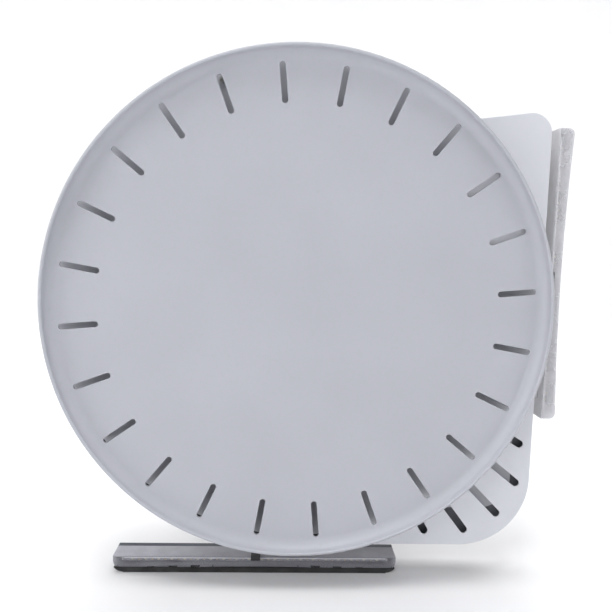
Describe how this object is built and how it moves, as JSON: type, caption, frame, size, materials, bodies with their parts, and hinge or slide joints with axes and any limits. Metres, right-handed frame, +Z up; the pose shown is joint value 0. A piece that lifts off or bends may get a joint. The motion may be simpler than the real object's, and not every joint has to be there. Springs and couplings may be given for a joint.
{
  "type": "flat satellite dish",
  "caption": "Flat round vented satellite dish with a slotted cover panel and clear light bars, on a floor pedestal that turns and tilts.",
  "frame": {"origin": "on the floor, on the azimuth axis, at the centre of the base plate's bolt pattern", "axes": "+X to the right seen from the front, +Y from the dish's face to its back, +Z up"},
  "size_m": [0.6325, 0.454, 0.6475],
  "materials": {
    "pan_shell": "light grey moulded plastic, satin",
    "panel_paint": "white powder coat, satin",
    "chassis_sheet": "pale grey sheet steel",
    "housing_plastic": "black moulded plastic, fine texture",
    "foam": "white closed-cell foam",
    "gasket_foam": "black foam rubber",
    "board": "green solder mask",
    "cast_alloy": "cast alloy, bead blasted",
    "turned_steel": "turned steel",
    "zinc_steel": "zinc plated",
    "black_steel": "black powder coat",
    "dark_paint": "dark grey powder coat",
    "bronze": "sintered bronze",
    "rubber": "black rubber",
    "clear_plastic": "clear acrylic",
    "led_white": "white flexible strip with chips",
    "carrier_white": "white plastic",
    "rail_dark": "dark anodised",
    "knob_black": "black ribbed plastic",
    "friction_lining": "brown friction lining",
    "gold_plate": "nickel and gold plate"
  },
  "bodies": {
    "pedestal": {"base_plate": "dark_paint", "rubber_pads": "rubber", "column": "dark_paint", "column_bolts": "zinc_steel", "azimuth_bush": "bronze", "thrust_washer": "bronze", "foot_bar_lens": "clear_plastic", "foot_bar_rail": "rail_dark", "foot_bar_reflector": "carrier_white", "foot_bar_leds": "led_white", "foot_bar_clip": "knob_black", "foot_shoe": "rubber", "foot_bar_arm": "dark_paint", "foot_bar_screws": "zinc_steel"},
    "turntable": {"azimuth_spindle": "turned_steel", "yoke": "dark_paint", "yoke_bolts": "zinc_steel", "pivot_pins": "turned_steel"},
    "head": {"case_panel": "panel_paint", "panel_gasket": "gasket_foam", "rear_housing": "housing_plastic", "front_cover": "chassis_sheet", "cover_screws": "zinc_steel", "chassis_plate": "chassis_sheet", "chassis_standoffs": "zinc_steel", "power_supply": "zinc_steel", "modem_board": "board", "fan_frame": "housing_plastic", "hub_carrier": "cast_alloy", "skew_bush": "bronze", "tilt_bracket": "dark_paint", "bracket_bolts": "zinc_steel", "connector_plate": "zinc_steel", "coax_sockets": "gold_plate", "power_inlet": "knob_black", "power_switch": "knob_black", "side_bar_lens": "clear_plastic", "side_bar_rail": "rail_dark", "side_bar_reflector": "carrier_white", "side_bar_leds": "led_white", "side_bar_clip": "knob_black", "side_bar_bracket": "dark_paint", "side_bar_screws": "zinc_steel", "friction_discs": "friction_lining"},
    "dish": {"dish_pan": "pan_shell", "foam_spacer": "foam", "array_board": "board", "array_backplate": "cast_alloy", "rf_converter": "cast_alloy", "pan_screws": "zinc_steel", "dish_spindle": "turned_steel", "hub_bolts": "zinc_steel", "spindle_nut": "black_steel", "skew_clamp_plate": "zinc_steel"},
    "skew_knob": {"skew_lock_knob": "knob_black"},
    "azimuth_knob": {"azimuth_lock_knob": "knob_black"},
    "left_knob": {"elevation_knob_left": "knob_black"},
    "right_knob": {"elevation_knob_right": "knob_black"},
    "fan": {"fan_rotor": "knob_black"},
    "button": {"power_button": "carrier_white"}
  },
  "joints": [
    {"name": "azimuth_turn", "type": "hinge", "parent": "pedestal", "child": "turntable", "pos_m": [0, 0, 0.206], "axis": [0, 0, 1], "range_deg": [-180, 180]},
    {"name": "elevation_tilt", "type": "hinge", "parent": "turntable", "child": "head", "pos_m": [0, 0, 0.3475], "axis": [-1, 0, 0], "range_deg": [0, 60]},
    {"name": "skew_turn", "type": "hinge", "parent": "head", "child": "dish", "pos_m": [0, -0.1, 0.3475], "axis": [0, 1, 0], "range_deg": [-90, 90]},
    {"name": "skew_knob_turn", "type": "hinge", "parent": "dish", "child": "skew_knob", "pos_m": [0, -0.05, 0.3475], "axis": [0, -1, 0], "range_deg": [0, 720]},
    {"name": "azimuth_knob_turn", "type": "hinge", "parent": "pedestal", "child": "azimuth_knob", "pos_m": [0, 0.05, 0.165], "axis": [0, -1, 0], "range_deg": [0, 360]},
    {"name": "left_knob_turn", "type": "hinge", "parent": "turntable", "child": "left_knob", "pos_m": [-0.09, 0, 0.3475], "axis": [1, 0, 0], "range_deg": [0, 720]},
    {"name": "right_knob_turn", "type": "hinge", "parent": "turntable", "child": "right_knob", "pos_m": [0.09, 0, 0.3475], "axis": [-1, 0, 0], "range_deg": [0, 720]},
    {"name": "fan_spin", "type": "hinge", "parent": "head", "child": "fan", "pos_m": [0.196, -0.09, 0.2375], "axis": [0, 1, 0], "continuous": true},
    {"name": "button_press", "type": "slide", "parent": "head", "child": "button", "axis": [0, -1, 0], "range_m": [0, 0.0018], "stiffness_N_per_m": 600}
  ]
}
